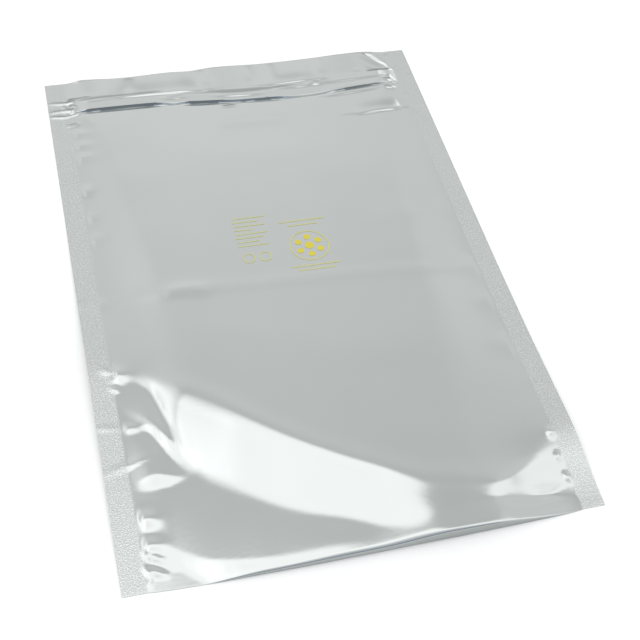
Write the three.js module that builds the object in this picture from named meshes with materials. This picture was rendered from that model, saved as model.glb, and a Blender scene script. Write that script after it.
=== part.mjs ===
// Zip-top static-shielding bag, lying flat with its zip closed. Millimetres, +Z up.
// +Y runs towards the mouth, +X across the bag, and the underside lies on Z = 0.
import * as THREE from "three";

// Bag
const BAG_WIDTH = 203;
const BAG_LENGTH = 304.5;
const FILM_THICKNESS = 0.1;
const SEAL_WIDTH = 10;
const BACK_LIP_STEP = 2;
const FOLD_BOW = 2.2;

// Puff of the front film over the back film
const FOOT_RISE = 0.6;
const FOLD_RISE = 8;
const LIP_RISE = 0.7;
const CREST_LIFT = 0.3;
const CREST_WIDTH = 6;
const SIDE_FULLNESS = 0.52;
const FULL_REACH = 50;
const LIFT_REACH = 40;

// Zip: two strips, each a tape with an interlocking profile
const ZIP_FROM_TOP = 22.4;
const ZIP_BOW = 6;
const ZIP_END_GAP = 3.3;
const TAPE_THICKNESS = 0.25;
const TAPE_ABOVE = 7.5;
const TAPE_BELOW = 2.6;
const FLANGE_GAP = 0.3;
const ZIP_PLAY = 0.15;
const CHANNEL_HALF = 1.35;
const CHANNEL_WALL = 0.4;
const CHANNEL_BASE = 0.15;
const HOOK_REACH = 0.55;
const HOOK_HEIGHT = 0.35;
const BARB_HEIGHT = 0.55;
const BARB_HALF = 1.05;
const STEM_HALF = 0.4;
const NOSE_HALF = 0.35;
const SHOULDER_ABOVE = 2.2;
const STEP_RUN = 2;
const END_SQUASH = 0.45;
const SQUASH_RUN = 9;
const CRUSH_RISE = 0.3;

// Heights of the closed zip, from the back film up
const channelFloor = FILM_THICKNESS + TAPE_THICKNESS + CHANNEL_BASE;
const noseHeight = channelFloor + ZIP_PLAY;
const barbTop = noseHeight + BARB_HEIGHT;
const hookUnder = barbTop + ZIP_PLAY;
const hookTop = hookUnder + HOOK_HEIGHT;
const ribTapeUnder = hookTop + ZIP_PLAY;
const stackRise = ribTapeUnder + TAPE_THICKNESS - FILM_THICKNESS;
const flangeRise = 2 * TAPE_THICKNESS + FLANGE_GAP;

// Shape lines, as shares of the bag's width and of its length from the mouth
const zipBowLine = [[0.06, 0], [0.3, 0.17], [0.4, 0.55], [0.61, 1], [0.76, 0.83], [0.94, 0.3]];
const lipWaveLine = [[0.05, 0], [0.09, 1.3], [0.2, 0.1], [0.33, 0.6], [0.39, 0.1], [0.46, 1.1],
  [0.58, 0.2], [0.72, 0.5], [0.86, 1.5], [0.95, 0]];
const crestLine = [[0.04, 0.638], [0.08, 0.642], [0.11, 0.654], [0.16, 0.683], [0.23, 0.72],
  [0.31, 0.768], [0.39, 0.811], [0.48, 0.855], [0.56, 0.888], [0.62, 0.908], [0.7, 0.925],
  [0.78, 0.925], [0.86, 0.908], [0.95, 0.875]];
const footLine = [[0.05, 0.7], [0.11, 0.79], [0.15, 0.848], [0.21, 0.878], [0.28, 0.905],
  [0.345, 0.93], [0.48, 0.972], [0.56, 0.988], [0.63, 0.98], [0.75, 0.97], [0.87, 0.96],
  [0.95, 0.945]];
const dropLine = [[0.05, 3.4], [0.11, 4], [0.2, 4.8], [0.3, 4.8], [0.4, 4.3], [0.5, 3.7],
  [0.58, 3], [0.645, 1.2], [0.69, 0], [0.76, 0.2], [0.83, 2], [0.9, 3.2], [0.95, 3.6]];
const toeLine = [[0.05, 0.93], [0.1, 0.935], [0.15, 0.957], [0.2, 0.975], [0.3, 0.988],
  [1, 0.992]];
const toeDropLine = [[0.05, 1.4], [0.1, 1.5], [0.2, 1], [0.3, 0.3], [0.4, 0.1], [0.5, 0], [1, 0]];

// Lines down the bag: how far from a side seal the front film reaches its height
const reachLeft = [[0, 12], [0.05, 8], [0.095, 8], [0.13, 16], [0.3, 20], [0.5, 18], [0.6, 12],
  [0.64, 10], [0.7, 11], [0.76, 14], [0.82, 18], [0.86, 18], [0.92, 16], [1, 18]];
const reachRight = [[0, 12], [0.05, 8], [0.095, 8], [0.13, 16], [0.3, 24], [0.6, 28],
  [0.8, 26], [0.87, 20], [0.93, 18], [1, 22]];

// Lines down the bag: how far the side seals curl up
const liftLeft = [[0.35, 0], [0.5, 1.1], [0.6, 2.6], [0.645, 3], [0.7, 2.7], [0.8, 1.9],
  [0.9, 1], [0.97, 0.25], [1, 0]];
const liftRight = [[0.55, 0], [0.7, 0.9], [0.8, 2.4], [0.865, 3.4], [0.9, 2.8], [0.94, 1.2],
  [0.97, 0.3], [1, 0]];

// Puckers beside the seals: share across, share down, half length, half width, height, lean
const puckers = [
  [0.055, 0.165, 8, 4.5, 0.3, 0.1],
  [0.05, 0.274, 8, 4, 0.4, -0.05],
  [0.055, 0.36, 8, 5, 0.3, 0.1],
  [0.106, 0.725, 7, 12, 0.7, 0],
  [0.07, 0.753, 7, 4, 0.6, 0.05],
  [0.094, 0.819, 12, 5.5, 1.3, -0.12],
  [0.07, 0.909, 6, 4, -0.9, 0],
  [0.068, 0.955, 6, 4, -0.5, 0.5],
  [0.94, 0.62, 8, 5, 0.25, -0.1],
  [0.94, 0.71, 8, 6, 0.3, 0],
  [0.88, 0.962, 18, 5.5, -0.7, 0.02],
];

// Folds that cross the bag: share across and down of each end, half width, height
const creases = [
  [0.05, 0.522, 0.95, 0.549, 4, 0.2],
  [0.78, 0.166, 0.94, 0.158, 3, 0.3],
  [0.42, 0.152, 0.62, 0.155, 5, 0.15],
];

const leftX = -BAG_WIDTH / 2;
const mouthY = (BAG_LENGTH + FOLD_BOW) / 2;
const sealInner = [SEAL_WIDTH, BAG_WIDTH - SEAL_WIDTH];
const zipEnds = [SEAL_WIDTH + ZIP_END_GAP, BAG_WIDTH - SEAL_WIDTH - ZIP_END_GAP];

function clamp01(value) {
  return Math.min(1, Math.max(0, value));
}

function smooth(value) {
  const t = clamp01(value);
  return t * t * (3 - 2 * t);
}

function insideSeals(x) {
  return Math.min(x - sealInner[0], sealInner[1] - x);
}

// Smooth curve through named points, read at one place
function through(points, at) {
  const last = points.length - 1;
  if (at <= points[0][0]) {
    return points[0][1];
  }
  if (at >= points[last][0]) {
    return points[last][1];
  }
  let k = 0;
  while (at > points[k + 1][0]) {
    k += 1;
  }
  const [x0, y0] = points[k];
  const [x1, y1] = points[k + 1];
  const before = points[Math.max(0, k - 1)];
  const after = points[Math.min(last, k + 2)];
  const span = x1 - x0;
  const leave = (y1 - before[1]) / (x1 - before[0]) * span;
  const arrive = (after[1] - y0) / (after[0] - x0) * span;
  const t = (at - x0) / span;
  const t2 = t * t;
  const t3 = t2 * t;
  const keep = (2 * t3 - 3 * t2 + 1) * y0 + (3 * t2 - 2 * t3) * y1;
  return keep + (t3 - 2 * t2 + t) * leave + (t3 - t2) * arrive;
}

// Straight slope from 0 to 1 with rounded ends
function softSlope(value, round) {
  const t = clamp01(value);
  const scale = 1 - round;
  if (t < round) {
    return t * t / (2 * round * scale);
  }
  if (t < 1 - round) {
    return (t - round / 2) / scale;
  }
  return 1 - (1 - t) * (1 - t) / (2 * round * scale);
}

function zipDown(x) {
  return ZIP_FROM_TOP + ZIP_BOW * through(zipBowLine, x / BAG_WIDTH);
}

// The zip is squashed flatter towards its ends, where the seals begin
function zipSquash(x) {
  return END_SQUASH + (1 - END_SQUASH) * smooth((insideSeals(x) - ZIP_END_GAP) / SQUASH_RUN);
}

// Height of the zip band over the back film, by the distance below the zip's line
function bandRise(x, q) {
  let top = stackRise;
  if (q < -TAPE_ABOVE) {
    top = flangeRise * clamp01(1 + (q + TAPE_ABOVE) / 2);
  } else if (q < -SHOULDER_ABOVE) {
    const t = (q + TAPE_ABOVE) / (TAPE_ABOVE - SHOULDER_ABOVE);
    top = flangeRise + (stackRise - flangeRise) * t;
  } else if (q > TAPE_BELOW) {
    top = stackRise * (1 - clamp01((q - TAPE_BELOW) / STEP_RUN));
  }
  return top * zipSquash(x) * clamp01(insideSeals(x) / ZIP_END_GAP);
}

// Height of the front film's inner face over the back film, away from the seals and the zip
function bodyRise(x, down) {
  const across = x / BAG_WIDTH;
  const lipEnd = zipDown(x) - TAPE_ABOVE;
  if (down < lipEnd) {
    const lip = LIP_RISE + through(lipWaveLine, across);
    const t = clamp01((down - BACK_LIP_STEP) / (lipEnd - BACK_LIP_STEP));
    return lip + (flangeRise - lip) * t;
  }
  const t = clamp01((down - lipEnd) / (BAG_LENGTH - lipEnd));
  const fullness = SIDE_FULLNESS + (1 - SIDE_FULLNESS) * smooth(insideSeals(x) / FULL_REACH);
  const swell = (FOLD_RISE - FOOT_RISE) * (1 - Math.pow(1 - t, 1.6)) * fullness;
  const crest = through(crestLine, across) * BAG_LENGTH;
  const foot = through(footLine, across) * BAG_LENGTH;
  const fall = through(dropLine, across) * softSlope((down - crest) / (foot - crest), 0.2);
  const lift = CREST_LIFT * Math.exp(-Math.pow((down - crest) / CREST_WIDTH, 2));
  const toe = through(toeLine, across) * BAG_LENGTH;
  const toePart = Math.pow(clamp01((down - toe) / (BAG_LENGTH - toe)), 1.3);
  return FOOT_RISE + swell - fall + lift - through(toeDropLine, across) * toePart;
}

function wrinkleRise(x, down) {
  let rise = 0;
  for (const [across, share, half, width, height, lean] of puckers) {
    const u = (x - across * BAG_WIDTH) / half;
    const v = (down - share * BAG_LENGTH - lean * (x - across * BAG_WIDTH)) / width;
    rise += height * Math.exp(-u * u - v * v);
  }
  for (const [x0, down0, x1, down1, width, height] of creases) {
    const t = (x / BAG_WIDTH - x0) / (x1 - x0);
    const middle = (down0 + (down1 - down0) * t) * BAG_LENGTH;
    const fade = softSlope(t * 6, 0.4) * softSlope((1 - t) * 6, 0.4);
    rise += height * fade * Math.exp(-Math.pow((down - middle) / width, 2));
  }
  return rise;
}

// Height of the front film's inner face over the back film; nothing at the seals
function filmRise(x, down) {
  const inside = insideSeals(x);
  if (inside <= 0) {
    return 0;
  }
  const reach = x < BAG_WIDTH / 2 ? reachLeft : reachRight;
  const spread = smooth(inside / through(reach, down / BAG_LENGTH));
  const loose = bodyRise(x, down) * spread + wrinkleRise(x, down) * smooth(inside / 5);
  const least = 0.03 * clamp01(inside / 2);
  return Math.max(least, loose, bandRise(x, down - zipDown(x)));
}

// Height of the back film over the table: the seals curl up a little
function backLift(x, down) {
  const curl = x < BAG_WIDTH / 2 ? liftLeft : liftRight;
  return (1 - smooth(insideSeals(x) / LIFT_REACH)) * through(curl, down / BAG_LENGTH);
}

// Crushed ends of the zip inside the side seals
function sealRise(x, down) {
  const q = down - zipDown(x);
  const profile = CRUSH_RISE * Math.exp(-q * q / (TAPE_BELOW * TAPE_BELOW));
  const toEdge = Math.min(x, BAG_WIDTH - x) / SEAL_WIDTH;
  return profile * (0.5 + 0.5 * clamp01(toEdge));
}

// Stations across the bag; the seals' inner edges and the zip's ends fall on stations
function stationsAcross() {
  const near = [0, 5, SEAL_WIDTH, SEAL_WIDTH + 1.4, zipEnds[0], zipEnds[0] + 2.7, zipEnds[0] + 5.9];
  const wide = zipEnds[0] + 10.2;
  const count = 22;
  const middle = [];
  for (let k = 0; k <= count; k += 1) {
    middle.push(wide + (BAG_WIDTH - 2 * wide) * k / count);
  }
  const far = near.map((x) => BAG_WIDTH - x).reverse();
  return [...near, ...middle, ...far];
}

// Rows down the front film; each gives its place at any station
function rowsDown() {
  const rows = [];
  rows.push(() => BACK_LIP_STEP);
  rows.push((x) => BACK_LIP_STEP + (zipDown(x) - TAPE_ABOVE - BACK_LIP_STEP) * 0.45);
  const steps = [-TAPE_ABOVE, -SHOULDER_ABOVE, TAPE_BELOW, TAPE_BELOW + STEP_RUN];
  for (const q of steps) {
    rows.push((x) => zipDown(x) + q);
  }
  const start = ZIP_FROM_TOP + TAPE_BELOW + STEP_RUN;
  const straight = 60;
  for (const t of [0.28, 0.62]) {
    rows.push((x) => (zipDown(x) + TAPE_BELOW + STEP_RUN) * (1 - t) + straight * t);
  }
  const shares = [];
  for (let k = 0; k < 16; k += 1) {
    shares.push((straight + k * 8) / BAG_LENGTH);
  }
  for (let k = 0; k < 24; k += 1) {
    shares.push((188 + k * 4.6) / BAG_LENGTH);
  }
  for (const share of shares) {
    rows.push(() => Math.max(start, share * BAG_LENGTH));
  }
  return rows;
}

// Collects triangles by shared corners
function solidBuilder() {
  const places = [];
  const faces = [];
  const corner = (x, down, z) => {
    places.push(leftX + x, mouthY - down, z);
    return places.length / 3 - 1;
  };
  const triangle = (a, b, c) => {
    if (a !== b && b !== c && a !== c) {
      faces.push(a, b, c);
    }
  };
  const quad = (a, b, c, d) => {
    triangle(a, b, c);
    triangle(a, c, d);
  };
  const geometry = () => {
    const shape = new THREE.BufferGeometry();
    shape.setAttribute("position", new THREE.Float32BufferAttribute(places, 3));
    shape.setIndex(faces);
    shape.computeVertexNormals();
    return shape;
  };
  return { places, corner, triangle, quad, geometry };
}

// Triangles between two lines of corners that run the same way
function stitch(solid, lower, upper) {
  const placeX = (corner) => solid.places[corner * 3];
  let a = 0;
  let b = 0;
  while (a < lower.length - 1 || b < upper.length - 1) {
    const lowerNext = a < lower.length - 1 ? placeX(lower[a + 1]) : Infinity;
    const upperNext = b < upper.length - 1 ? placeX(upper[b + 1]) : Infinity;
    if (lowerNext <= upperNext) {
      solid.triangle(lower[a], lower[a + 1], upper[b]);
      a += 1;
    } else {
      solid.triangle(lower[a], upper[b + 1], upper[b]);
      b += 1;
    }
  }
}

// One film web, folded at the bottom, heat-sealed along both sides, open at the mouth
function buildPouch() {
  const solid = solidBuilder();
  const xs = stationsAcross();
  const rows = rowsDown();
  const n = xs.length;
  const m = rows.length;
  const first = xs.findIndex((x) => x >= sealInner[0]);
  const final = n - 1 - first;
  const ringSteps = 6;
  const film = FILM_THICKNESS;
  const inPocket = (i) => i >= first && i <= final;

  const foldDown = (x) => {
    const t = clamp01((x - sealInner[0]) / (sealInner[1] - sealInner[0]));
    return BAG_LENGTH + FOLD_BOW * Math.pow(Math.sin(Math.PI * t), 0.6);
  };
  const foldHeight = (x) => filmRise(x, BAG_LENGTH) + 2 * film;

  const outer = [];
  const inner = [];
  const outerRing = [];
  const innerRing = [];
  const under = [];
  const inside = [];
  for (let i = 0; i < n; i += 1) {
    const x = xs[i];
    const radius = foldHeight(x) / 2;
    const centreDown = foldDown(x) - radius;
    const pocket = inPocket(i);
    const closed = i === first || i === final;
    const topColumn = [];
    const innerColumn = [];
    const underColumn = [];
    const insideColumn = [];
    for (let j = 0; j < m; j += 1) {
      const isLast = j === m - 1;
      const down = isLast ? centreDown : rows[j](x);
      const rise = isLast ? foldHeight(x) - 2 * film : filmRise(x, down);
      const crushed = pocket && !closed ? 0 : sealRise(x, down);
      const base = isLast ? 0 : backLift(x, down);
      topColumn.push(solid.corner(x, down, base + rise + 2 * film + crushed));
      underColumn.push(solid.corner(x, down, base));
      const floor = solid.corner(x, down, base + film);
      insideColumn.push(floor);
      innerColumn.push(closed || !pocket ? floor : solid.corner(x, down, base + rise + film));
    }
    const ring = [topColumn[m - 1]];
    const ringIn = [innerColumn[m - 1]];
    for (let k = 1; k < ringSteps; k += 1) {
      const angle = Math.PI / 2 - Math.PI * k / ringSteps;
      const reach = Math.cos(angle);
      const lift = Math.sin(angle);
      ring.push(solid.corner(x, centreDown + radius * reach, radius + radius * lift));
      const small = radius - film;
      const collapsed = closed || !pocket;
      const place = collapsed ? innerColumn[m - 1]
        : solid.corner(x, centreDown + small * reach, radius + small * lift);
      ringIn.push(place);
    }
    ring.push(underColumn[m - 1]);
    ringIn.push(insideColumn[m - 1]);
    outer.push(topColumn);
    inner.push(innerColumn);
    under.push(underColumn);
    inside.push(insideColumn);
    outerRing.push(ring);
    innerRing.push(ringIn);
  }
  const lipUnder = xs.map((x) => solid.corner(x, 0, 0));
  const lipTop = xs.map((x) => solid.corner(x, 0, film));

  for (let i = 0; i < n - 1; i += 1) {
    for (let j = 0; j < m - 1; j += 1) {
      solid.quad(outer[i][j + 1], outer[i + 1][j + 1], outer[i + 1][j], outer[i][j]);
    }
    for (let k = 0; k < ringSteps; k += 1) {
      solid.quad(outerRing[i][k + 1], outerRing[i + 1][k + 1], outerRing[i + 1][k], outerRing[i][k]);
    }
    solid.quad(inner[i][0], outer[i][0], outer[i + 1][0], inner[i + 1][0]);
    solid.quad(lipUnder[i], lipTop[i], lipTop[i + 1], lipUnder[i + 1]);
    if (i >= first && i < final) {
      for (let j = 0; j < m - 1; j += 1) {
        solid.quad(inner[i][j], inner[i + 1][j], inner[i + 1][j + 1], inner[i][j + 1]);
      }
      for (let k = 0; k < ringSteps; k += 1) {
        solid.quad(innerRing[i][k], innerRing[i + 1][k], innerRing[i + 1][k + 1], innerRing[i][k + 1]);
      }
    }
  }

  // Underside and inner floor: flat in the middle, so they need stations only near the seals
  const whole = (grid, j, from, to) => grid.slice(from, to + 1).map((column) => column[j]);
  const curls = (i) => {
    const side = Math.min(i, n - 1 - i);
    return [0, first, first + 3, first + 5, first + 6, first + 8, first + 9].includes(side);
  };
  const flatRow = (j) => rows[j](BAG_WIDTH / 2) < liftLeft[0][0] * BAG_LENGTH;
  const some = (grid, j, from, to) => {
    const kept = [];
    for (let i = from; i <= to; i += 1) {
      if (i === from || i === to || (!flatRow(j) && curls(i))) {
        kept.push(grid[i][j]);
      }
    }
    return kept;
  };
  stitch(solid, lipUnder, some(under, 0, 0, n - 1));
  for (let j = 0; j < m - 2; j += 1) {
    stitch(solid, some(under, j, 0, n - 1), some(under, j + 1, 0, n - 1));
  }
  stitch(solid, some(under, m - 2, 0, n - 1), whole(under, m - 1, 0, n - 1));
  const sealLeft = whole(inside, 0, 0, first);
  const sealRight = whole(inside, 0, final, n - 1);
  stitch(solid, [...sealLeft, ...sealRight], lipTop);
  for (let j = 0; j < m - 2; j += 1) {
    stitch(solid, some(inside, j + 1, first, final), some(inside, j, first, final));
  }
  stitch(solid, whole(inside, m - 1, first, final), some(inside, m - 2, first, final));

  // Side edges
  for (const [i, flip] of [[0, false], [n - 1, true]]) {
    const face = (a, b, c) => (flip ? solid.triangle(a, c, b) : solid.triangle(a, b, c));
    face(lipUnder[i], under[i][0], inside[i][0]);
    face(lipUnder[i], inside[i][0], lipTop[i]);
    face(inside[i][0], outer[i][1], outer[i][0]);
    face(inside[i][0], under[i][1], outer[i][1]);
    face(inside[i][0], under[i][0], under[i][1]);
    for (let j = 1; j < m - 1; j += 1) {
      face(under[i][j], under[i][j + 1], outer[i][j + 1]);
      face(under[i][j], outer[i][j + 1], outer[i][j]);
    }
    for (let k = 1; k < ringSteps; k += 1) {
      face(under[i][m - 1], outerRing[i][k], outerRing[i][k - 1]);
    }
  }
  return solid.geometry();
}

// One zip strip: its section, given below the zip's line and in height, along the zip
function buildStrip(section) {
  const solid = solidBuilder();
  const xs = stationsAcross().filter((x) => x >= zipEnds[0] - 1e-6 && x <= zipEnds[1] + 1e-6);
  const squashed = (x, z) => FILM_THICKNESS + (z - FILM_THICKNESS) * zipSquash(x);
  const rings = xs.map((x) =>
    section.map(([q, z]) => solid.corner(x, zipDown(x) + q, squashed(x, z))));
  for (let i = 0; i < xs.length - 1; i += 1) {
    for (let k = 0; k < section.length; k += 1) {
      const next = (k + 1) % section.length;
      solid.quad(rings[i + 1][k], rings[i + 1][next], rings[i][next], rings[i][k]);
    }
  }
  const outline = section.map(([q, z]) => new THREE.Vector2(q, z));
  const caps = THREE.ShapeUtils.triangulateShape(outline, []);
  const lastRing = rings[rings.length - 1];
  for (const [a, b, c] of caps) {
    solid.triangle(rings[0][a], rings[0][b], rings[0][c]);
    solid.triangle(lastRing[a], lastRing[c], lastRing[b]);
  }
  return solid.geometry();
}

// Tape with a channel whose hooks hold the rib
function grooveSection() {
  const wall = CHANNEL_HALF + CHANNEL_WALL;
  const mouth = CHANNEL_HALF - HOOK_REACH;
  const chamfer = 0.15;
  const tapeTop = FILM_THICKNESS + TAPE_THICKNESS;
  const right = [
    [wall, tapeTop],
    [wall, hookTop - chamfer],
    [wall - chamfer, hookTop],
    [mouth + chamfer, hookTop],
    [mouth, hookTop - chamfer],
    [mouth, hookUnder],
    [CHANNEL_HALF, hookUnder],
    [CHANNEL_HALF, channelFloor],
  ];
  const left = right.map(([q, z]) => [-q, z]).reverse();
  return [
    [-TAPE_ABOVE, FILM_THICKNESS],
    [TAPE_BELOW, FILM_THICKNESS],
    [TAPE_BELOW, tapeTop],
    ...right,
    ...left,
    [-TAPE_ABOVE, tapeTop],
  ];
}

// Tape with the arrow-headed rib that presses into the channel
function ribSection() {
  const top = ribTapeUnder + TAPE_THICKNESS;
  const flangeTop = FILM_THICKNESS + flangeRise;
  return [
    [-TAPE_ABOVE, flangeTop - TAPE_THICKNESS],
    [-SHOULDER_ABOVE, ribTapeUnder],
    [-STEM_HALF, ribTapeUnder],
    [-STEM_HALF, barbTop],
    [-BARB_HALF, barbTop],
    [-NOSE_HALF, noseHeight],
    [NOSE_HALF, noseHeight],
    [BARB_HALF, barbTop],
    [STEM_HALF, barbTop],
    [STEM_HALF, ribTapeUnder],
    [TAPE_BELOW, ribTapeUnder],
    [TAPE_BELOW, top],
    [-SHOULDER_ABOVE, top],
    [-TAPE_ABOVE, flangeTop],
  ];
}

function named(name, geometry, color, roughness, metalness) {
  const material = new THREE.MeshStandardMaterial({ color, roughness, metalness });
  const mesh = new THREE.Mesh(geometry, material);
  mesh.name = name;
  return mesh;
}

const bag = new THREE.Group();
bag.name = "static_shielding_zip_bag";
bag.add(named("film_pouch", buildPouch(), 0xc0c5c4, 0.25, 0.85));
bag.add(named("zip_groove_strip", buildStrip(grooveSection()), 0xdfe4e2, 0.4, 0));
bag.add(named("zip_rib_strip", buildStrip(ribSection()), 0xdfe4e2, 0.4, 0));

export default bag;
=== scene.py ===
"""Zip-top static-shielding bag, lying flat on a pale table with its zip closed."""
import math

import bpy
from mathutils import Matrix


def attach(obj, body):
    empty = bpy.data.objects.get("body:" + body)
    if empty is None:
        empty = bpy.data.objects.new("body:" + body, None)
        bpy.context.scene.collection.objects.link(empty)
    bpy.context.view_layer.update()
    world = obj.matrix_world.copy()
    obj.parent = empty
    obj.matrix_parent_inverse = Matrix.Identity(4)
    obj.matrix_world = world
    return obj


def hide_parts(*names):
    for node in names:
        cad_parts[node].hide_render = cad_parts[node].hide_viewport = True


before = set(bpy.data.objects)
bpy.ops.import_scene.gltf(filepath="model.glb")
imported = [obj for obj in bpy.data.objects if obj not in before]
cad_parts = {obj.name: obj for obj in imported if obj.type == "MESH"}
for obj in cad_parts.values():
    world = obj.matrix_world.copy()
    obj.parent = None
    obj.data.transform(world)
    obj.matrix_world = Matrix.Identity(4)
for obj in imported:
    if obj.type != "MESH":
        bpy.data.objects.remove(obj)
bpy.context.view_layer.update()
MM = 0.001

# The bag, in millimetres, as in the part's source
WIDTH = 203.0
LENGTH = 304.5
FILM = 0.1
SEAL = 10.0
LIP_STEP = 2.0
FOLD_BOW = 2.2
FOOT_RISE = 0.6
FOLD_RISE = 8.0
BODY_SWELL = 1.6  # how soon below the zip the pouch fills
LIP_RISE = 1.5
LIP_WAVE_HEIGHT = 0.8
LIP_CURL = 0.2
LIP_CURL_REACH = 14.0
CREST_LIFT = 0.3
CREST_WIDTH = 6.0
ZIP_FROM_TOP = 22.4
ZIP_BOW = 6.0
ZIP_END_GAP = 3.3
STACK_RISE = 2.7
FLANGE_RISE = 2.2
TAPE_ABOVE = 7.5
TAPE_BELOW = 2.6
SHOULDER = 2.2
ZIP_END_SQUASH = 0.45
ZIP_SQUASH_REACH = 9.0
LEAST_GAP = 0.03  # between the front and back films
EDGE_FULLNESS = 0.52  # share of the pouch's height beside its seals
FULL_LEFT = 50.0
FULL_RIGHT = 80.0
SPREAD_ROUNDED = 0.65
STEP_ROUNDING = 0.2
TOE_POWER = 1.3
RIDGE_END = 0.35  # share of a ridge's height at its two ends
# The fold's section: a superellipse, rounder on the left, squarer from there to the right
FOLD_BOW_POWER = 0.6
FOLD_ROUND = 3.2
FOLD_SQUARER = 3.0
FOLD_SQUARE_FROM = 0.55
FOLD_SQUARE_RUN = 0.15

# Shape lines: the place across as a share of the width, then the value there
ZIP_BOW_LINE = [(0.06, 0), (0.3, 0.17), (0.4, 0.55), (0.61, 1), (0.76, 0.83), (0.94, 0.3)]
LIP_WAVE = [(0.05, 0), (0.09, 1.3), (0.2, 0.1), (0.33, 0.6), (0.39, 0.1), (0.46, 1.1),
            (0.58, 0.2), (0.72, 0.5), (0.86, 1.5), (0.95, 0)]
# Steps down in the front film, each facing the fold: its upper edge, its lower edge, its height,
# in millimetres across, then millimetres down or high
STEPS = [
    ([(10, 196), (16, 199), (20, 202), (25, 205.5), (29, 208.5), (34, 212), (46.7, 220.2),
      (63, 234.5), (79.2, 248), (97.4, 260.8), (113.7, 270.6), (122, 275.5), (130, 279.5),
      (142, 282), (152, 284.5), (158, 286), (164, 285.5), (170, 283), (178, 280), (187, 276.5),
      (193, 273)],
     [(10, 206), (16, 207), (22, 210.5), (26, 217), (30, 236), (34, 253), (38, 260.5),
      (42.6, 266), (56.8, 275.2), (70, 283.2), (97.4, 296), (113.7, 300.8), (122, 302),
      (130, 300), (142, 297), (158, 295), (170, 295.5), (187, 294), (193, 292)],
     [(10, 1.0), (16, 1.0), (22, 1.3), (26, 2.0), (30, 3.1), (34, 4.1), (40, 4.7), (46, 4.8),
      (61, 4.8), (81.2, 4.3), (101.5, 3.7), (112, 2.9), (120, 1.8), (128, 0.8), (136, 0.45),
      (148, 0.3), (156, 0.4), (166, 1.1), (180, 1.6), (193, 1.7)]),
    ([(9, 213), (13, 218), (18, 223), (23, 228), (28, 236), (34, 244)],
     [(9, 219), (13, 225), (18, 230.5), (23, 236), (28, 246), (34, 258)],
     [(9, 0.9), (18, 1.4), (23, 1.8), (26, 1.8), (30, 1.3), (34, 0.6), (40, 0.05), (44, 0),
      (60, 0)]),
    ([(9, 253), (16, 253.5), (24, 254), (31, 256)],
     [(9, 260), (16, 261), (24, 260.5), (31, 259)],
     [(9, 1.0), (16, 1.4), (24, 1.0), (28, 0.5), (32, 0.15), (36, 0.02), (42, 0), (60, 0)]),
]
# The toe: where the film starts to turn down into the fold, and by how much
TOE_LINE = [(0.05, 0.93), (0.085, 0.935), (0.135, 0.957), (0.185, 0.975), (0.285, 0.988),
            (0.7, 0.992), (0.8, 0.984), (1, 0.984)]
TOE_DROP = [(0.05, 1.4), (0.1, 1.5), (0.18, 1.1), (0.28, 0.35), (0.4, 0.1), (0.5, 0), (0.74, 0),
            (0.82, 0.28), (0.94, 0.28), (1, 0.2)]
# How far the step below the zip runs: short where it looks dark
STEP_RUN = [(0.05, 1.4), (0.07, 0.9), (0.28, 0.7), (0.31, 3.4), (0.34, 3.2), (0.36, 0.8),
            (0.45, 0.7), (0.48, 1.5), (0.55, 1.0), (0.6, 1.2), (0.64, 3.4), (0.74, 3.2),
            (0.77, 1.0), (0.9, 0.9), (0.95, 2.4)]
# How far the zip stands up, as a share of its full height
ZIP_HEIGHT = [(0.05, 0.95), (0.28, 1), (0.33, 0.8), (0.37, 1), (0.5, 0.95), (0.6, 1),
              (0.67, 0.78), (0.95, 0.78)]
# Place down as a share of the length: how far from a side seal the film reaches its height
REACH_LEFT = [(0, 14), (0.05, 14), (0.095, 9), (0.13, 16), (0.3, 26), (0.5, 34), (0.6, 36),
              (0.68, 34), (0.74, 26), (0.8, 18), (0.86, 16), (0.92, 16), (1, 18)]
REACH_RIGHT = [(0, 26), (0.05, 20), (0.095, 9), (0.13, 16), (0.3, 26), (0.6, 34), (0.8, 40),
               (0.9, 40), (1, 34)]
# Place down, then millimetres: how far the side seals curl up off the table
LIFT_LEFT = [(0.35, 0), (0.5, 1.1), (0.6, 2.6), (0.645, 3.0), (0.7, 2.5), (0.8, 1.6), (0.9, 0.8),
             (0.97, 0.2), (1, 0)]
LIFT_RIGHT = [(0.55, 0), (0.7, 0.9), (0.8, 2.4), (0.865, 3.4), (0.9, 2.8), (0.94, 1.2),
              (0.97, 0.3), (1, 0)]
LIFT_REACH = 40.0

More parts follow.
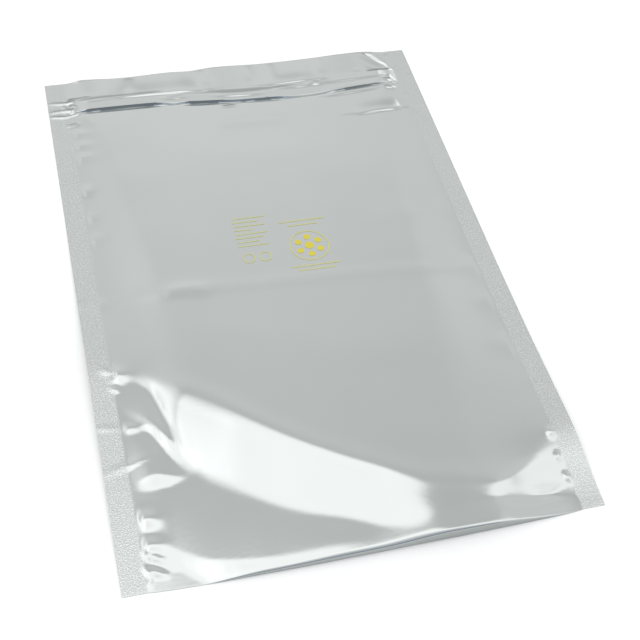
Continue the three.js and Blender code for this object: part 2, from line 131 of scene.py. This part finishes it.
# Puckers: share across, share down, half length, half width, height, lean
PUCKERS = [
    (0.055, 0.135, 7, 2.6, 0.3, 0.1),
    (0.055, 0.165, 7, 2.6, 0.35, 0.1),
    (0.055, 0.195, 7, 3.0, 0.4, 0.05),
    (0.05, 0.274, 7, 2.2, 0.5, -0.05),
    (0.055, 0.335, 8, 3, 0.35, 0.1),
    (0.055, 0.385, 8, 3, 0.35, 0.1),
    (0.055, 0.66, 5, 4, 0.9, 0.1),
    (0.07, 0.753, 6, 2.2, 0.4, 0.05),
    (0.07, 0.897, 4.5, 3.6, 0.9, 0.0),
    (0.068, 0.936, 5, 3.2, 0.8, 0.1),
    (0.07, 0.953, 4.5, 1.5, 0.5, 0.5),
    (0.07, 0.974, 5, 1.7, 0.55, 0.5),
    (0.94, 0.62, 8, 5, 0.25, -0.1),
    (0.94, 0.71, 8, 6, 0.3, 0),
    (0.92, 0.545, 10, 5, 0.25, 0.1),
    (0.84, 0.42, 20, 7, 0.14, -0.1),
    (0.17, 0.26, 14, 10, 0.14, 0.2),
    (0.62, 0.68, 60, 13, 0.16, 0.12),
    (0.35, 0.62, 24, 9, 0.12, 0.3),
    (0.7, 0.3, 26, 12, 0.14, -0.2),
    (0.3, 0.42, 22, 14, 0.12, 0.25),
    (0.55, 0.24, 30, 10, 0.1, 0.1),
    (0.44, 0.988, 15, 10, 0.55, 0.0),
    (0.88, 0.969, 15, 2.7, -0.95, 0.0),
]
# Small pimples at the seals' inner edges, measured the same way
PIMPLES = [
    (0.945, 0.877, 2.0, 2.0, 0.8, 0),
    (0.94, 0.916, 1.6, 1.4, 0.5, -0.3),
    (0.945, 0.949, 1.6, 2.0, 0.6, 0.3),
    (0.04, 0.652, 3.0, 1.6, 0.6, 0.3),
    (0.05, 0.668, 1.8, 1.3, 0.5, -0.3),
    (0.048, 0.684, 2.0, 1.2, 0.5, 0.4),
    (0.018, 0.747, 5.5, 0.9, 0.3, 0.15),
    (0.05, 0.812, 9, 1.6, 0.35, -0.25),
    (0.015, 0.517, 4, 0.9, 0.3, -0.1),
]
# Creases: share across and down of each end, half width, height
CREASES = [
    (0.05, 0.522, 0.97, 0.549, 3, 0.2),
    (0.42, 0.152, 0.62, 0.155, 5, 0.15),
]
# Fine ridges in the film: places across and down in millimetres, half width, height, and how much
# gentler the side towards the mouth is
RIDGES = [
    ([(14, 17.2), (24, 19.0), (36, 18.6)], 0.9, 0.25, 5),
    ([(36, 18.4), (54, 18.7), (70, 18.6), (84, 19.4)], 1.0, 0.7, 9),
    ([(62, 23.6), (68, 23.4), (73, 23.8)], 0.7, 0.3, 3),
    ([(90, 26.0), (101, 26.8), (113, 27.6)], 0.8, 0.35, 4),
    ([(92, 33.4), (98, 33.2)], 0.8, 0.35, 1),
    ([(8, 34.6), (15, 33.8)], 0.9, 0.5, 1),
    ([(118, 20.4), (134, 20.0), (147, 19.4)], 0.9, 0.5, 7),
    ([(124, 24.6), (136, 24.4), (144, 24.0)], 0.8, 0.35, 3),
    ([(150, 23.6), (166, 22.8), (184, 21.8)], 0.8, 0.32, 4),
    ([(142, 21.6), (147, 24.2), (152, 21.8)], 1.0, 0.4, 2),
    ([(150, 33.4), (164, 32.4), (178, 31.0)], 0.9, 0.42, 4),
    ([(163, 50.8), (176, 49.6), (188, 48.4)], 0.9, 0.7, 8),
    ([(40, 161.3), (49, 161.9), (60, 163.2)], 1.2, 0.5, 5),
    ([(6, 159.2), (13, 160)], 1.1, 0.5, 2),
    ([(0, 157.4), (4, 157.6)], 0.9, 0.3, 1),
    ([(7, 85), (15, 84.6)], 1.0, 0.45, 2),
    ([(178, 1.5), (181, 5.5), (184.5, 9.5), (188, 12.5)], 3.0, 0.9, 0.6),
    ([(171, 15), (172, 17)], 0.7, 0.4, 1),
    ([(191, 1.5), (194, 2.5)], 0.8, 0.3, 1),
    ([(185, 24.5), (190, 26.2)], 0.9, 0.5, 1),
    ([(184, 30.5), (189, 32.0)], 0.9, 0.5, 1),
    ([(188, 22), (189.5, 29)], 0.9, 0.5, 1),
    ([(1, 15.8), (9, 16.6), (14, 17.2)], 0.8, 0.45, 1.5),
    ([(0.5, 23.0), (7, 22.4), (13, 23.6)], 0.8, 0.45, 1.5),
    ([(1, 26.4), (8, 27.4), (16, 26.0)], 0.8, 0.5, 1.5),
    ([(8, 18.5), (10, 22), (9, 25.5)], 1.0, 0.5, 1),
    ([(12, 19), (14.5, 21.5), (12.5, 24.5)], 0.9, 0.4, 1),
    ([(45, 3), (44, 14)], 2.6, 0.35, 1),
    ([(84, 2.5), (86, 15)], 3.0, 0.4, 1),
    ([(111, 3), (110, 15)], 2.6, 0.3, 1),
    ([(124, 3), (122, 16)], 2.4, 0.35, 1),
    ([(153, 3), (151, 15)], 3.0, 0.35, 1),
    # Where the sealing bar ends, at the left seal's inner edge near the fold
    ([(10.5, 286), (11.5, 290), (10.2, 294), (12, 298), (11, 302)], 0.8, 0.5, 1),
]


def clamp(value):
    return min(1.0, max(0.0, value))


def smooth(value):
    t = clamp(value)
    return t * t * (3 - 2 * t)


def bell(value):
    return math.exp(-value * value)


def through(points, at):
    """Smooth curve through named points, read at one place."""
    last = len(points) - 1
    if at <= points[0][0]:
        return points[0][1]
    if at >= points[last][0]:
        return points[last][1]
    k = 0
    while at > points[k + 1][0]:
        k += 1
    (x0, y0), (x1, y1) = points[k], points[k + 1]
    before, after = points[max(0, k - 1)], points[min(last, k + 2)]
    span = x1 - x0
    leave = (y1 - before[1]) / (x1 - before[0]) * span
    arrive = (after[1] - y0) / (after[0] - x0) * span
    t = (at - x0) / span
    t2, t3 = t * t, t * t * t
    keep = (2 * t3 - 3 * t2 + 1) * y0 + (3 * t2 - 2 * t3) * y1
    return keep + (t3 - 2 * t2 + t) * leave + (t3 - t2) * arrive


def soft_slope(value, rounding):
    """Straight slope from 0 to 1 with rounded ends."""
    t = clamp(value)
    scale = 1 - rounding
    if t < rounding:
        return t * t / (2 * rounding * scale)
    if t < 1 - rounding:
        return (t - rounding / 2) / scale
    return 1 - (1 - t) * (1 - t) / (2 * rounding * scale)


class Station:
    """What holds all the way down the bag at one place across it."""

    def __init__(self, x):
        share = x / WIDTH
        self.x = x
        self.share = share
        self.zip = ZIP_FROM_TOP + ZIP_BOW * through(ZIP_BOW_LINE, share)
        wave = through(LIP_WAVE, share)
        self.lip = LIP_RISE + LIP_WAVE_HEIGHT * wave
        self.lip_curl = LIP_CURL + wave
        self.steps = [tuple(through(line, x) for line in lines) for lines in STEPS]
        self.toe = through(TOE_LINE, share) * LENGTH
        self.toe_drop = through(TOE_DROP, share)
        self.run = through(STEP_RUN, share)
        self.stack = STACK_RISE * through(ZIP_HEIGHT, share)
        self.inside = min(x - SEAL, WIDTH - SEAL - x)
        # The zip is squashed flatter towards its ends, where the seals begin
        past_end = smooth((self.inside - ZIP_END_GAP) / ZIP_SQUASH_REACH)
        self.squash = ZIP_END_SQUASH + (1 - ZIP_END_SQUASH) * past_end
        on_left = share < 0.5
        # The pouch is thinner beside its seals
        full_from = FULL_LEFT if on_left else FULL_RIGHT
        self.fullness = EDGE_FULLNESS + (1 - EDGE_FULLNESS) * smooth(self.inside / full_from)
        self.reach = REACH_LEFT if on_left else REACH_RIGHT
        self.curl = LIFT_LEFT if on_left else LIFT_RIGHT
        self.curl_share = 1 - smooth(self.inside / LIFT_REACH)
        across = clamp((x - SEAL) / (WIDTH - 2 * SEAL))
        self.fold = LENGTH + FOLD_BOW * math.sin(math.pi * across) ** FOLD_BOW_POWER


def band_rise(s, q):
    """Height of the front film over the zip, by the distance below the zip's line."""
    if q < -TAPE_ABOVE:
        top = FLANGE_RISE * smooth(1 + (q + TAPE_ABOVE) / 3)
    elif q < -SHOULDER:
        t = smooth((q + TAPE_ABOVE) / (TAPE_ABOVE - SHOULDER))
        top = FLANGE_RISE + (s.stack - FLANGE_RISE) * t
    elif q <= TAPE_BELOW:
        top = s.stack
    else:
        top = s.stack * (1 - soft_slope((q - TAPE_BELOW) / s.run, STEP_ROUNDING))
    return top * s.squash * clamp(s.inside / ZIP_END_GAP)


def body_rise(s, down):
    """Height of the front film over the back film, away from the seals and the zip."""
    lip_end = s.zip - TAPE_ABOVE
    if down < lip_end:
        t = clamp((down - LIP_STEP) / (lip_end - LIP_STEP))
        return s.lip + (FLANGE_RISE - s.lip) * t
    t = clamp((down - lip_end) / (LENGTH - lip_end))
    level = FOOT_RISE + (FOLD_RISE - FOOT_RISE) * (1 - (1 - t) ** BODY_SWELL) * s.fullness
    fall = sum(drop * soft_slope((down - crest) / (foot - crest), STEP_ROUNDING)
               for crest, foot, drop in s.steps)
    lift = CREST_LIFT * bell((down - s.steps[0][0]) / CREST_WIDTH)
    toe = s.toe_drop * clamp((down - s.toe) / (LENGTH - s.toe)) ** TOE_POWER
    return level - fall + lift - toe


def bump_rise(bumps, s, down):
    """Height of the puckers or the pimples at one place."""
    rise = 0.0
    for across, share, half, wide, height, lean in bumps:
        from_middle = s.x - across * WIDTH
        u = from_middle / half
        v = (down - share * LENGTH - lean * from_middle) / wide
        if abs(u) < 3 and abs(v) < 3:
            rise += height * bell(u) * bell(v)
    return rise


def wrinkle_rise(s, down):
    """Height of the puckers and the creases, each crease tapered to its ends."""
    rise = bump_rise(PUCKERS, s, down)
    for x0, down0, x1, down1, wide, height in CREASES:
        t = (s.share - x0) / (x1 - x0)
        middle = (down0 + (down1 - down0) * t) * LENGTH
        if abs(down - middle) < 3 * wide:
            fade = soft_slope(t * 6, 0.4) * soft_slope((1 - t) * 6, 0.4)
            rise += height * fade * bell((down - middle) / wide)
    return rise


def ridge_rise(x, down):
    """Height of the fine ridges, each tapered to its ends."""
    rise = 0.0
    for path, wide, height, gentler in RIDGES:
        across = [p[0] for p in path]
        along = [p[1] for p in path]
        margin = 3 * wide * gentler
        if not (min(across) - margin < x < max(across) + margin):
            continue
        if not (min(along) - margin < down < max(along) + margin):
            continue
        nearest, place_on, below = 1e9, 0.0, 0.0
        parts = len(path) - 1
        for k in range(parts):
            (x0, d0), (x1, d1) = path[k], path[k + 1]
            run = (x1 - x0) ** 2 + (d1 - d0) ** 2
            t = clamp(((x - x0) * (x1 - x0) + (down - d0) * (d1 - d0)) / run)
            away = math.hypot(x - x0 - t * (x1 - x0), down - d0 - t * (d1 - d0))
            if away < nearest:
                nearest, place_on, below = away, (k + t) / parts, down - d0 - t * (d1 - d0)
        reach = wide * gentler if below < 0 else wide
        taper = RIDGE_END + (1 - RIDGE_END) * math.sin(math.pi * place_on) ** 0.5
        rise += height * taper * bell(nearest / reach)
    return rise


def film_rise(s, down):
    """Height of the front film's inner face over the back film."""
    if s.inside <= 0:
        return 0.0
    near = clamp(s.inside / through(s.reach, down / LENGTH))
    spread = SPREAD_ROUNDED * smooth(near) + (1 - SPREAD_ROUNDED) * near * (2 - near)
    loose = body_rise(s, down) * spread + wrinkle_rise(s, down) * smooth(s.inside / 3.0)
    least = LEAST_GAP * clamp(s.inside / 2)
    return max(least, loose, band_rise(s, down - s.zip))


def back_lift(s, down):
    """Height of the back film over the table."""
    if s.curl_share == 0:
        return 0.0
    return s.curl_share * through(s.curl, down / LENGTH)


def lip_curl(s, down):
    """Height of the back film's lip, which curls up towards the mouth."""
    return s.lip_curl * clamp(1 - down / LIP_CURL_REACH) ** 2 * smooth(s.inside / 10)


def top_rise(s, down):
    """Height of the front film's outer face over the table."""
    rise = film_rise(s, down) + bump_rise(PIMPLES, s, down) + ridge_rise(s.x, down)
    return rise + 2 * FILM + back_lift(s, down)


def place(x, down, z):
    """Turns millimetres across, down and up into metres in the shared frame."""
    return ((x - WIDTH / 2) * MM, ((LENGTH + FOLD_BOW) / 2 - down) * MM, z * MM)


# The web's grid, in millimetres: finer beside the seals, at the zip and towards the fold
EDGE_STEP = 0.8
EDGE_STATIONS = 28
MIDDLE_STATIONS = 106
LIP_ROWS = 14
ZIP_ROWS = [-9 + 0.5 * k for k in range(23)]
ZIP_ROWS += [2.4 + 0.2 * k for k in range(17)]
ZIP_ROWS += [6 + 0.5 * k for k in range(5)]
BODY_FROM = 60.0
BELOW_ZIP_ROWS = 30
BODY_STEP = 2.8
BODY_ROWS = 45
LOWER_ROWS = 92
FOLD_STEPS = 18
BACK_STEPS = 24
BACK_LIP = 16.0
BACK_LIP_STEP = 2.0
BACK_LIP_ROWS = 8


def stations_across():
    near = [EDGE_STEP * k for k in range(EDGE_STATIONS)]
    far = [WIDTH - x for x in reversed(near)]
    first, last = near[-1], far[0]
    count = MIDDLE_STATIONS
    middle = [first + (last - first) * k / count for k in range(1, count)]
    return near + middle + far


def rows_down(s):
    """Places down the front film at one station, from the lip to where the fold starts."""
    lip_end = s.zip + ZIP_ROWS[0]
    rows = [LIP_STEP + (lip_end - LIP_STEP) * k / LIP_ROWS for k in range(LIP_ROWS)]
    rows += [s.zip + q for q in ZIP_ROWS]
    start = rows[-1]
    rows += [start + (BODY_FROM - start) * k / BELOW_ZIP_ROWS for k in range(1, BELOW_ZIP_ROWS)]
    rows += [BODY_FROM + BODY_STEP * k for k in range(BODY_ROWS)]
    start = BODY_FROM + BODY_STEP * BODY_ROWS
    end = s.fold - (film_rise(s, LENGTH) + 2 * FILM) / 2
    rows += [start + (end - start) * k / LOWER_ROWS for k in range(LOWER_ROWS + 1)]
    return rows


def web_line(s):
    """One line along the whole web: down the front film, round the fold, up the back film."""
    half = FILM / 2
    rows = rows_down(s)
    height = film_rise(s, LENGTH) + 2 * FILM
    radius = height / 2
    line = [(down, top_rise(s, min(down, LENGTH)) - half) for down in rows]
    centre = rows[-1]
    reach = radius - half
    squarer = smooth((s.share - FOLD_SQUARE_FROM) / FOLD_SQUARE_RUN)
    power = 2 / (FOLD_ROUND + FOLD_SQUARER * squarer)
    for k in range(1, FOLD_STEPS + 1):
        angle = math.pi / 2 - math.pi * k / FOLD_STEPS
        out = abs(math.cos(angle)) ** power
        up = math.copysign(abs(math.sin(angle)) ** power, math.sin(angle))
        line.append((centre + reach * out, radius + reach * up))
    for k in range(1, BACK_STEPS + 1):
        down = BACK_LIP + (centre - BACK_LIP) * (1 - k / BACK_STEPS)
        line.append((down, half + back_lift(s, down)))
    for k in range(1, BACK_LIP_ROWS + 1):
        down = BACK_LIP_STEP * (BACK_LIP_ROWS - k)
        line.append((down, half + back_lift(s, down) + lip_curl(s, down)))
    return line


def mesh_object(name, places, faces):
    mesh = bpy.data.meshes.new(name)
    mesh.from_pydata(places, [], faces)
    mesh.update()
    piece = bpy.data.objects.new(name, mesh)
    bpy.context.scene.collection.objects.link(piece)
    return piece


def finish_modifiers(piece):
    bpy.ops.object.select_all(action="DESELECT")
    bpy.context.view_layer.objects.active = piece
    piece.select_set(True)
    for modifier in list(piece.modifiers):
        bpy.ops.object.modifier_apply(modifier=modifier.name)
    piece.select_set(False)


def build_film():
    """The web as one sheet: its UV map runs in 100 mm along it, and "seal" is 1 on the seals."""
    stations = [Station(x) for x in stations_across()]
    places, web, seals = [], [], []
    for s in stations:
        line = web_line(s)
        along = 0.0
        before = line[0]
        for down, z in line:
            along += math.hypot(down - before[0], z - before[1])
            before = (down, z)
            places.append(place(s.x, down, z))
            web.append((s.x / 100, along / 100))
            seals.append(1 - smooth(s.inside / 1.5 + 0.5))
    rows = len(places) // len(stations)
    faces = []
    for i in range(len(stations) - 1):
        for j in range(rows - 1):
            a = i * rows + j
            faces.append((a, a + 1, a + rows + 1, a + rows))
    film = mesh_object("shielding_film_web", places, faces)
    layer = film.data.uv_layers.new(name="web")
    for loop in film.data.loops:
        layer.data[loop.index].uv = web[loop.vertex_index]
    mask = film.data.attributes.new("seal", "FLOAT", "POINT")
    mask.data.foreach_set("value", seals)
    film.data.shade_smooth()
    wall = film.modifiers.new("thickness", "SOLIDIFY")
    wall.thickness = FILM * MM
    wall.offset = 0
    finish_modifiers(film)
    film.select_set(True)
    bpy.ops.object.shade_smooth_by_angle(angle=math.radians(60))
    film.select_set(False)
    return film


film = build_film()


def linear(hex_colour, alpha=1.0):
    """A colour given in sRGB, as linear light."""
    parts = [int(hex_colour[k:k + 2], 16) / 255 for k in (1, 3, 5)]
    light = [p / 12.92 if p <= 0.04045 else ((p + 0.055) / 1.055) ** 2.4 for p in parts]
    return (*light, alpha)


def add_node(tree, kind, settings=None, links=None, **values):
    """Adds one node: its settings, what its sockets are linked from, and its sockets' values,
    each named as its socket with _ for a space."""
    node = tree.nodes.new(kind)
    for key, value in (settings or {}).items():
        setattr(node, key, value)
    for key, value in values.items():
        node.inputs[key.replace("_", " ")].default_value = value
    for key, source in (links or {}).items():
        tree.links.new(source, node.inputs[key])
    return node


def fill(tree, node, values):
    """Fills a node's first sockets, each with a plain value or the output it is linked from."""
    for socket, value in zip(node.inputs, values):
        if isinstance(value, bpy.types.NodeSocket):
            tree.links.new(value, socket)
        else:
            socket.default_value = value
    return node.outputs[0]


def noise(tree, where, scale, detail):
    return add_node(tree, "ShaderNodeTexNoise", links={"Vector": where}, Scale=scale,
                    Detail=detail).outputs[0]


def product(tree, first, second):
    return fill(tree, add_node(tree, "ShaderNodeMath", {"operation": "MULTIPLY"}), (first, second))


def blend(tree, kind, share, first, second):
    return fill(tree, add_node(tree, "ShaderNodeMixRGB", {"blend_type": kind}),
                (share, first, second))


def follow(tree, value, start, end, low=0.0, high=1.0):
    """Goes from low to high while the given value goes from start to end."""
    return add_node(tree, "ShaderNodeMapRange", links={"Value": value}, From_Min=start,
                    From_Max=end, To_Min=low, To_Max=high).outputs[0]


def bump(tree, height, strength, distance, before=None):
    links = {"Height": height}
    if before:
        links["Normal"] = before
    return add_node(tree, "ShaderNodeBump", links=links, Strength=strength,
                    Distance=distance).outputs[0]


def new_material(name):
    material = bpy.data.materials.new(name)
    material.use_nodes = True
    tree = material.node_tree
    return material, tree, tree.nodes["Principled BSDF"]


def metallised_laminate():
    """Metallised polyester laminate, rolled smooth: a soft grey half-mirror with fine orange peel;
    the heat-sealed sides are stippled by the sealing bars and look grainy; their paler look is
    painted glints, lightened into the base colour."""
    material, tree, shader = new_material("metallised_polyester_laminate_rolled")
    web = add_node(tree, "ShaderNodeUVMap", {"uv_map": "web"}).outputs[0]
    seal = add_node(tree, "ShaderNodeAttribute", {"attribute_name": "seal"}).outputs["Fac"]
    tint = blend(tree, "MIX", noise(tree, web, 3.0, 2.0), linear("#C2C6C5"), linear("#C6CAC9"))
    # Stipple of the sealing bars, 0.6 mm across; on the seals its brighter dots are painted
    # glints, the base colour lightened towards near white
    grain = noise(tree, web, 165.0, 1.0)
    painted_glint = product(tree, follow(tree, grain, 0.5, 0.7, 0.0, 0.42), seal)
    tint = blend(tree, "MIX", painted_glint, tint, linear("#F2F4F4"))
    tree.links.new(tint, shader.inputs["Base Color"])
    shader.inputs["Metallic"].default_value = 1.0
    tree.links.new(follow(tree, seal, 0.0, 1.0, 0.12, 0.26), shader.inputs["Roughness"])
    # Orange peel of the rolled film, about 2 mm across
    peel = bump(tree, noise(tree, web, 45.0, 1.0), 0.02, 0.0005)
    stipple = bump(tree, product(tree, grain, seal), 0.55, 0.0002, peel)
    tree.links.new(stipple, shader.inputs["Normal"])
    return material


film.data.materials.append(metallised_laminate())
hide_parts("film_pouch")
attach(film, "root")


# Printed marks, in millimetres: place across and down, then length and width of a bar, radius
# and width of a ring, or radius of a dot
INK_LIFT = 0.05
INK = 0.02
BAR_STEP = 1.5
RING_STEPS = 48
DOT_STEPS = 24
BAR_LENGTHS = (17.0, 12.5, 15.5, 9.0, 16.0, 13.5, 11.0, 15.0)
PRINTED_BARS = [(79.0, 119.4 + 2.7 * k, long, 0.7) for k, long in enumerate(BAR_LENGTHS)]
PRINTED_BARS += [(101.5, 125.6, 23.0, 0.8), (105.5, 128.6, 15.0, 0.8), (101.0, 156.0, 25.0, 0.8),
                 (104.0, 158.6, 18.0, 0.8)]
PRINTED_RINGS = [(82.6, 146.4, 3.2, 0.7), (90.6, 146.4, 3.2, 0.7), (113.0, 143.0, 10.0, 0.8)]
PRINTED_DOTS = [(113.0, 143.0, 2.3)] + [
    (113.0 + 5.7 * math.cos(math.radians(a)), 143.0 + 5.7 * math.sin(math.radians(a)), 1.7)
    for a in range(30, 390, 60)]


def build_print():
    """Bars, rings and dots that lie on the film; "cover" is 1 on the dots, the full ink."""
    places, faces = [], []
    known = {}

    def corner(x, down):
        """Adds one corner on the film and gives its number."""
        if x not in known:
            known[x] = Station(x)
        places.append(place(x, down, top_rise(known[x], down) + INK_LIFT))
        return len(places) - 1

    def strip(lines):
        """Joins lines of corners that run the same way, side by side."""
        for first, second in zip(lines, lines[1:]):
            for k in range(len(first) - 1):
                faces.append((first[k], first[k + 1], second[k + 1], second[k]))

    def around(x, down, radius, steps, count):
        """Adds the first corners of a circle that has this many steps."""
        angles = [2 * math.pi * k / steps for k in range(count)]
        return [corner(x + radius * math.cos(a), down - radius * math.sin(a)) for a in angles]

    for x, down, long, wide in PRINTED_BARS:
        count = math.ceil(long / BAR_STEP)
        xs = [x + long * k / count for k in range(count + 1)]
        strip([[corner(a, down + side * wide / 2) for a in xs] for side in (1, -1)])
    for x, down, radius, wide in PRINTED_RINGS:
        strip([around(x, down, r, RING_STEPS, RING_STEPS + 1) for r in (radius, radius - wide)])
    fine = len(places)
    for x, down, radius in PRINTED_DOTS:
        rim = around(x, down, radius, DOT_STEPS, DOT_STEPS)
        middle = corner(x, down)
        faces.extend((middle, rim[k], rim[(k + 1) % DOT_STEPS]) for k in range(DOT_STEPS))
    marks = mesh_object("printed_marks", places, faces)
    cover = marks.data.attributes.new("cover", "FLOAT", "POINT")
    cover.data.foreach_set("value", [0.0] * fine + [1.0] * (len(places) - fine))
    wall = marks.modifiers.new("ink", "SOLIDIFY")
    wall.thickness = INK * MM
    wall.offset = 1
    finish_modifiers(marks)
    return marks


def flexographic_ink():
    """Yellow flexographic ink on the film: thin, a little mottled, half gloss; its fine lines
    look paler."""
    material, tree, shader = new_material("flexographic_ink_printed_yellow")
    where = add_node(tree, "ShaderNodeTexCoord").outputs["Object"]
    mottle = noise(tree, where, 900.0, 2.0)
    cover = add_node(tree, "ShaderNodeAttribute", {"attribute_name": "cover"}).outputs["Fac"]
    full = blend(tree, "MIX", mottle, linear("#CFC24C"), linear("#DDD034"))
    tint = blend(tree, "MIX", cover, linear("#C6C68C"), full)
    tree.links.new(tint, shader.inputs["Base Color"])
    tree.links.new(follow(tree, mottle, 0.0, 1.0, 0.3, 0.5), shader.inputs["Roughness"])
    return material


marks = build_print()
marks.data.materials.append(flexographic_ink())
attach(marks, "root")


def extruded_polyethylene():
    """Low-density polyethylene, extruded: milky, slightly waxy, with fine draw lines along
    the zip."""
    material, tree, shader = new_material("low_density_polyethylene_extruded")
    where = add_node(tree, "ShaderNodeTexCoord").outputs["Object"]
    drawn = add_node(tree, "ShaderNodeMapping", links={"Vector": where},
                     Scale=(20.0, 2500.0, 2500.0))
    lines = noise(tree, drawn.outputs[0], 1.0, 1.0)
    tint = blend(tree, "MIX", lines, linear("#D3D9D6"), linear("#E2E6E4"))
    tree.links.new(tint, shader.inputs["Base Color"])
    shader.inputs["Roughness"].default_value = 0.42
    shader.inputs["IOR"].default_value = 1.51
    tree.links.new(bump(tree, lines, 0.2, 0.0001), shader.inputs["Normal"])
    return material


zip_plastic = extruded_polyethylene()
for node in ("zip_groove_strip", "zip_rib_strip"):
    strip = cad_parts[node]
    strip.data.materials.clear()
    strip.data.materials.append(zip_plastic)


FLOOR_DROP = 0.00002  # keeps the table top clear of the back film
FLOOR_LIFT = 0.26


def build_floor():
    """Table top: pale, and lifted to white where the camera sees it."""
    bpy.ops.mesh.primitive_plane_add(size=6, location=(0, 0, -FLOOR_DROP))
    floor = bpy.context.object
    floor.name = "pale_table_top"
    material, tree, shader = new_material("matt_laminate_table_top_white")
    shader.inputs["Base Color"].default_value = linear("#E4E4E3")
    shader.inputs["Roughness"].default_value = 0.9
    shader.inputs["Specular IOR Level"].default_value = 0.1
    path = add_node(tree, "ShaderNodeLightPath")
    lift = product(tree, path.outputs["Is Camera Ray"], FLOOR_LIFT)
    tree.links.new(lift, shader.inputs["Emission Strength"])
    shader.inputs["Emission Color"].default_value = (1, 1, 1, 1)
    floor.data.materials.append(material)


build_floor()


# Soft studio light: a pale room, a large soft box high behind the bag, a dimmer front
LIGHT_BY_HEIGHT = [(0.0, 0.42), (0.4, 0.62), (0.54, 1.02), (0.61, 1.05), (0.655, 0.97),
                   (0.74, 0.92), (0.8, 0.86), (0.86, 0.81), (0.892, 0.8), (0.925, 1.62),
                   (0.97, 1.62), (1.0, 1.45)]
PAST_BOX = (0.62, 0.62, 0.62, 1)
DIM_FRONT = (0.62, 0.69, 0.78, 1)


def build_world():
    """Light by direction: x to the right, y away from the camera, z up."""
    world = bpy.data.worlds.new("soft_studio")
    bpy.context.scene.world = world
    world.use_nodes = True
    tree = world.node_tree
    background = tree.nodes["Background"]
    towards = add_node(tree, "ShaderNodeTexCoord").outputs["Generated"]
    x, y, z = add_node(tree, "ShaderNodeSeparateXYZ", links={0: towards}).outputs
    # The soft box reaches lower on the right
    lower = product(tree, follow(tree, x, 0.34, 0.6, 0.0, 0.2), follow(tree, y, 0.42, 0.28))
    height = fill(tree, add_node(tree, "ShaderNodeMath", {"operation": "ADD"}), (z, lower))
    ramp = add_node(tree, "ShaderNodeValToRGB", links={0: height})
    stops = ramp.color_ramp.elements
    while len(stops) < len(LIGHT_BY_HEIGHT):
        stops.new(0.5)
    for stop, (at, level) in zip(stops, LIGHT_BY_HEIGHT):
        stop.position = at
        stop.color = (level, level, level, 1)
    # It ends above the bag
    past_box = product(tree, follow(tree, y, 0.08, -0.03), follow(tree, z, 0.86, 0.94))
    room = blend(tree, "MULTIPLY", past_box, ramp.outputs[0], PAST_BOX)
    # The dimmer, slightly blue front of the room
    room = blend(tree, "MULTIPLY", follow(tree, y, -0.3, -0.65), room, DIM_FRONT)
    # The far wall is a little dimmer on the right
    room = blend(tree, "MULTIPLY", 1.0, room, follow(tree, x, 0.16, 0.38, 1.0, 0.92))
    # A pale wall on the right
    room = blend(tree, "LIGHTEN", 1.0, room, follow(tree, x, 0.36, 0.52, 0.0, 0.92))
    # A bright pane at the far right
    pane = product(tree, follow(tree, x, 0.42, 0.48, 0.0, 0.8), follow(tree, y, 0.715, 0.74))
    room = blend(tree, "ADD", 1.0, room, pane)
    # A bright upper wall on the left
    glow = product(tree, follow(tree, x, -0.1, -0.42, 0.0, 0.9), follow(tree, z, 0.66, 0.8))
    room = blend(tree, "ADD", 1.0, room, glow)
    path = add_node(tree, "ShaderNodeLightPath")
    shown = blend(tree, "MIX", path.outputs["Is Camera Ray"], room, (1, 1, 1, 1))
    tree.links.new(shown, background.inputs["Color"])


build_world()

# Camera: above and to the left of the folded end, as in the photograph
eye = bpy.data.cameras.new("eye")
eye.lens = 65.016
eye.sensor_width = 36
camera = bpy.data.objects.new("eye", eye)
bpy.context.scene.collection.objects.link(camera)
camera.location = (-0.10293178, -0.35153353, 0.41935785)
camera.rotation_euler = [math.radians(turn) for turn in (38.689147, -4.086365, -13.875867)]
bpy.context.scene.camera = camera
bpy.context.scene.view_settings.view_transform = "Standard"
